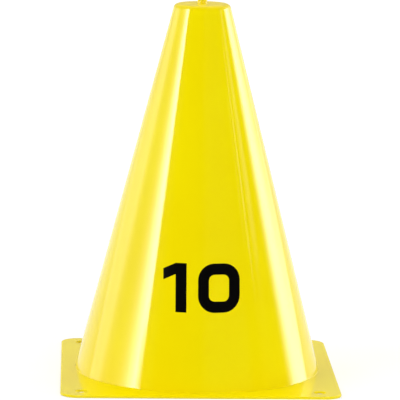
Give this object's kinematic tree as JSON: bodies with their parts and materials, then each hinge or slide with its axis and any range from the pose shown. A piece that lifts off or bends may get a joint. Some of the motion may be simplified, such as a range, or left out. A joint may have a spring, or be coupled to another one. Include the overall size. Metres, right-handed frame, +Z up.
{
  "type": "sports marker cone",
  "caption": "Thin-walled plastic marker cone, open underneath for stacking, on a square foot flange with corner peg holes.",
  "frame": {"origin": "on the floor, at the middle of the flange's underside", "axes": "+Z up along the cone's axis, -Y towards the viewer of the picture"},
  "size_m": [0.1704, 0.1704, 0.2326],
  "materials": {
    "yellow_plastic": "smooth glossy moulded polyethylene",
    "black_ink": "thin printed ink, satin"
  },
  "bodies": {
    "root": {"cone_shell": "yellow_plastic", "base_flange": "yellow_plastic"}
  },
  "joints": []
}
